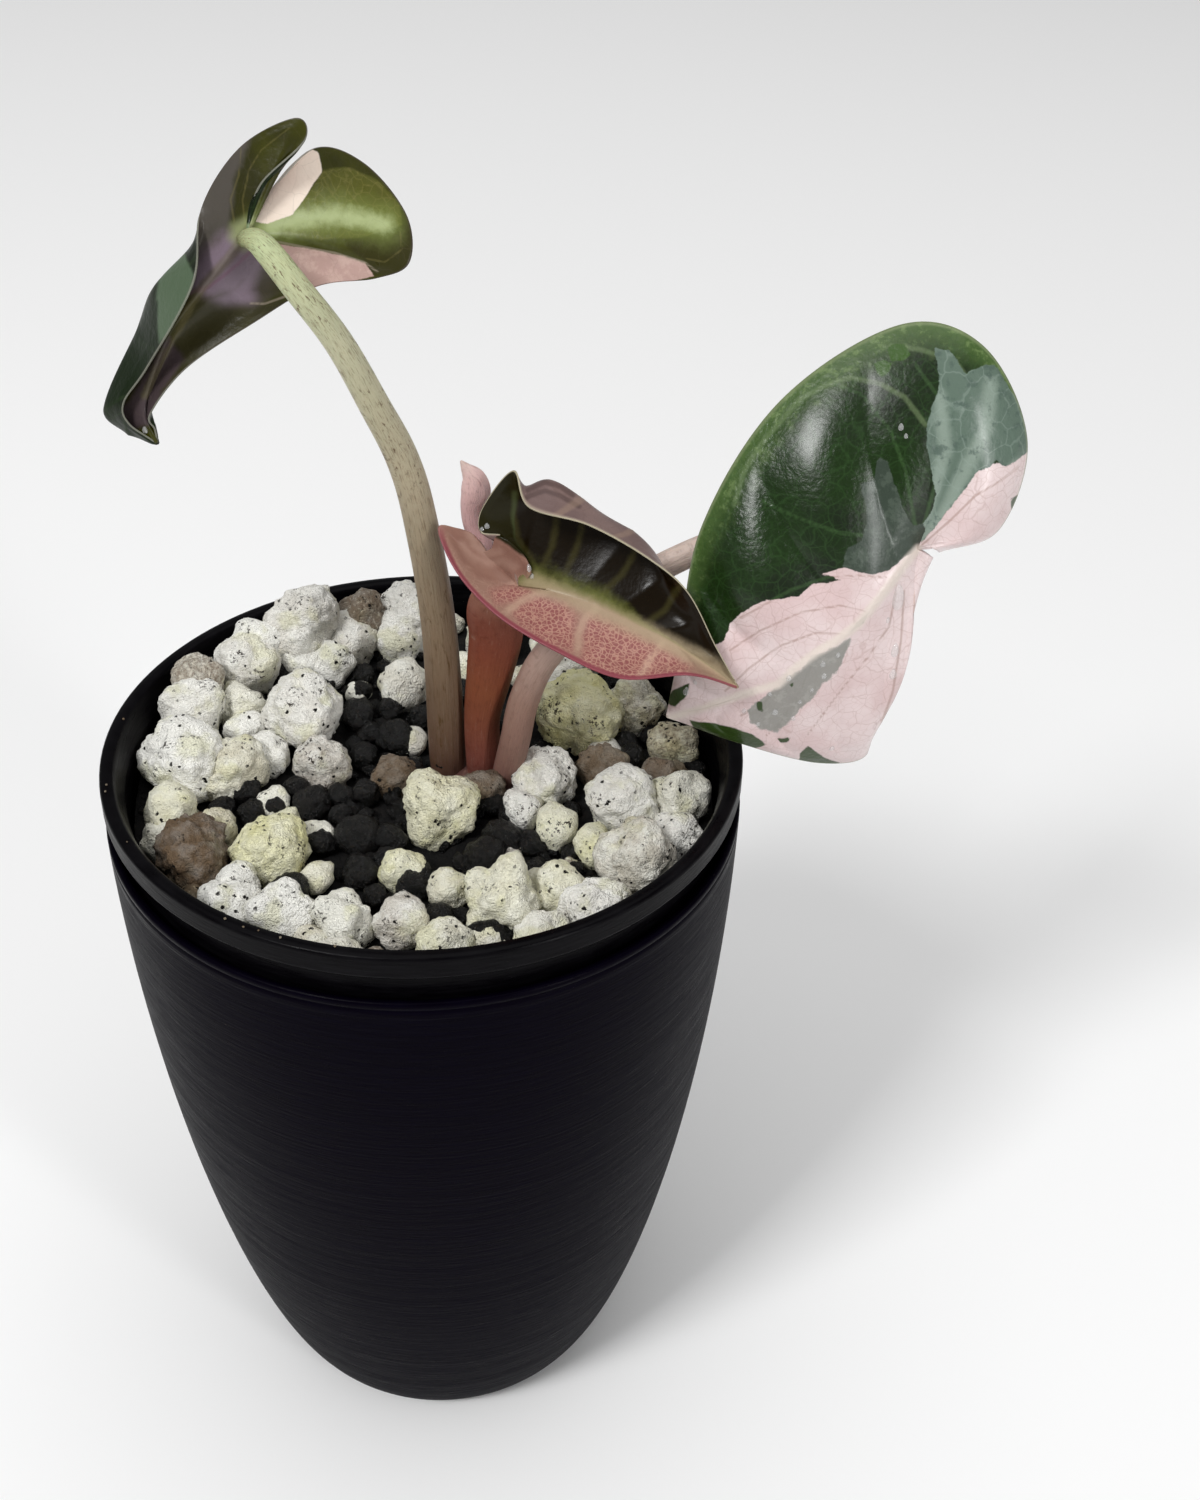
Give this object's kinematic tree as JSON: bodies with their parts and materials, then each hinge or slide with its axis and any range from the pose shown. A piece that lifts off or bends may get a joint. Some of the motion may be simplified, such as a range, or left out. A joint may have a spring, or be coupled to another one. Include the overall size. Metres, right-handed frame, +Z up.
{
  "type": "potted houseplant",
  "caption": "Young balloon heart alocasia with puffed pink and green variegated leaves on arched stalks, in a pumice and black granule mix inside a liner pot hung in a rounded outer pot.",
  "frame": {"origin": "centre of the outer pot's flat base", "axes": "+Z up, the front of the pot faces -Y, and the large leaf reaches towards +X"},
  "size_m": [0.1384, 0.1, 0.226],
  "materials": {
    "outer_pot": "layer-printed satin black plastic with fine horizontal lines",
    "inner_pot": "layer-printed dark grey-black plastic",
    "pumice_fill": "rough porous off-white pumice with black specks",
    "black_granules": "damp black crushed granules",
    "stem_base": "dull brown-pink plant tissue",
    "petiole_left": "smooth pale green-cream stalk with brown mottling",
    "petiole_middle": "smooth salmon to orange-red sheath",
    "petiole_right": "smooth dusty pink-beige stalk",
    "blade_left": "satin leaf, olive, cream and pink-grey under face",
    "blade_middle": "glossy leaf, pink near half and near-black green far half",
    "blade_right": "glossy leaf, deep green, mint and pink sectors",
    "new_leaf_spear": "soft pale pink rolled leaf"
  },
  "bodies": {
    "root": {"outer_pot": "outer_pot", "inner_pot": "inner_pot", "pumice_fill": "pumice_fill", "black_granules": "black_granules", "stem_base": "stem_base", "petiole_left": "petiole_left", "petiole_middle": "petiole_middle", "petiole_right": "petiole_right", "blade_left": "blade_left", "blade_middle": "blade_middle", "blade_right": "blade_right", "new_leaf_spear": "new_leaf_spear"}
  },
  "joints": []
}
